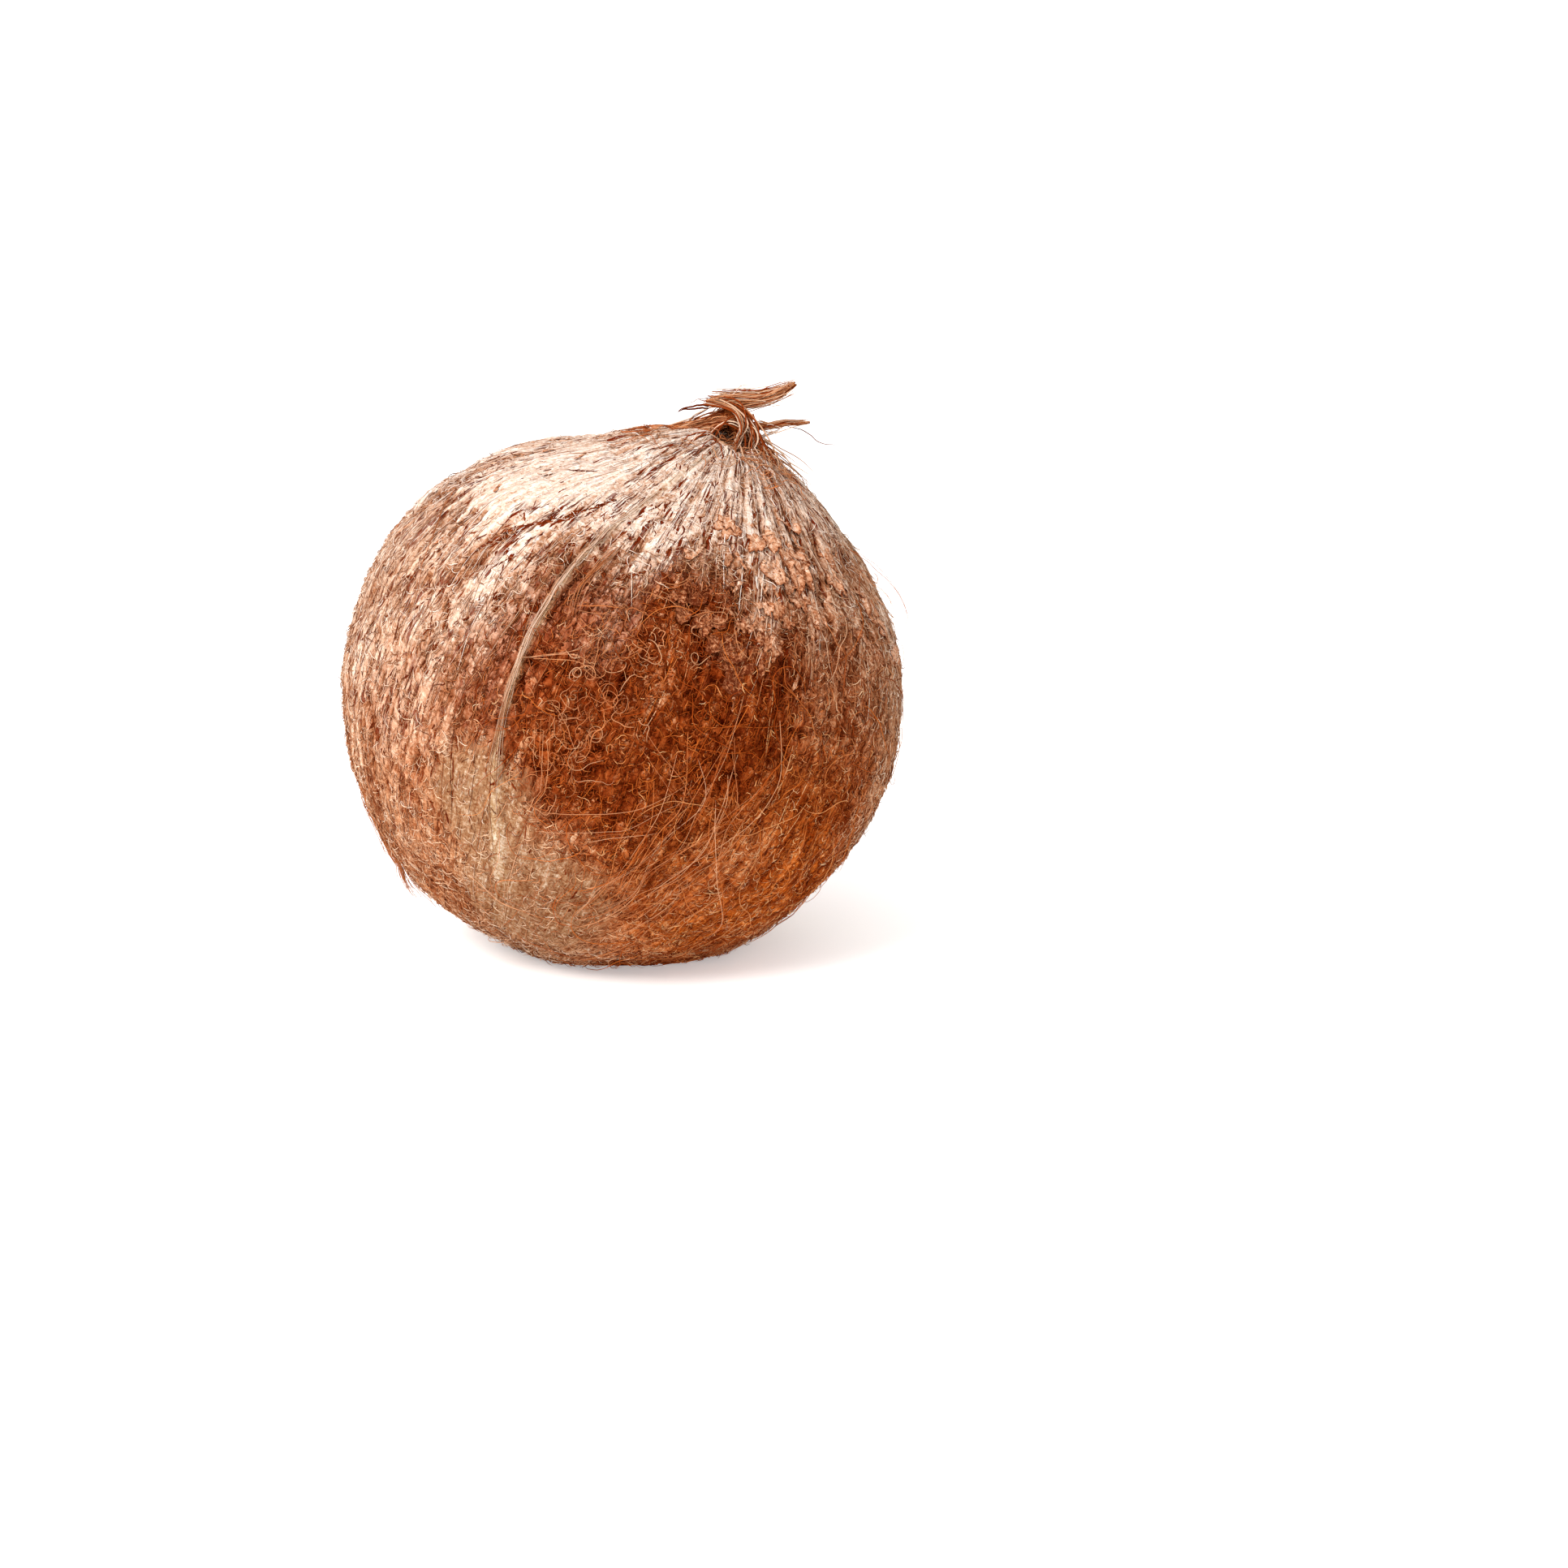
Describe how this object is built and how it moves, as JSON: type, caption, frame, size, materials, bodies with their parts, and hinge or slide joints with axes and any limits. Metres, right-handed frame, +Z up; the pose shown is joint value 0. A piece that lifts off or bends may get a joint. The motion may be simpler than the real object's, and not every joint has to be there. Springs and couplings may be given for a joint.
{
  "type": "coconut",
  "caption": "Whole husked coconut with a hairy brown coat, a blunt crown with a twist of torn husk and stiff splinters, resting on a small flat spot.",
  "frame": {"origin": "on the resting plane, under the middle of the whole outline", "axes": "+Z up from the flat spot; +X to the side that the crown leans towards; -Y to the front, where one of the three ribs runs down the nut"},
  "size_m": [0.1196, 0.12, 0.123],
  "materials": {
    "coir_coat": "matt matted coconut fibre",
    "coir_strands": "dry loose coconut fibre with a faint sheen",
    "husk_wood": "dry torn husk, long grained"
  },
  "bodies": {
    "root": {"nut": "coir_coat", "tuft_knot": "coir_strands", "husk_splinter_long": "husk_wood", "husk_splinter_short": "husk_wood"}
  },
  "joints": []
}
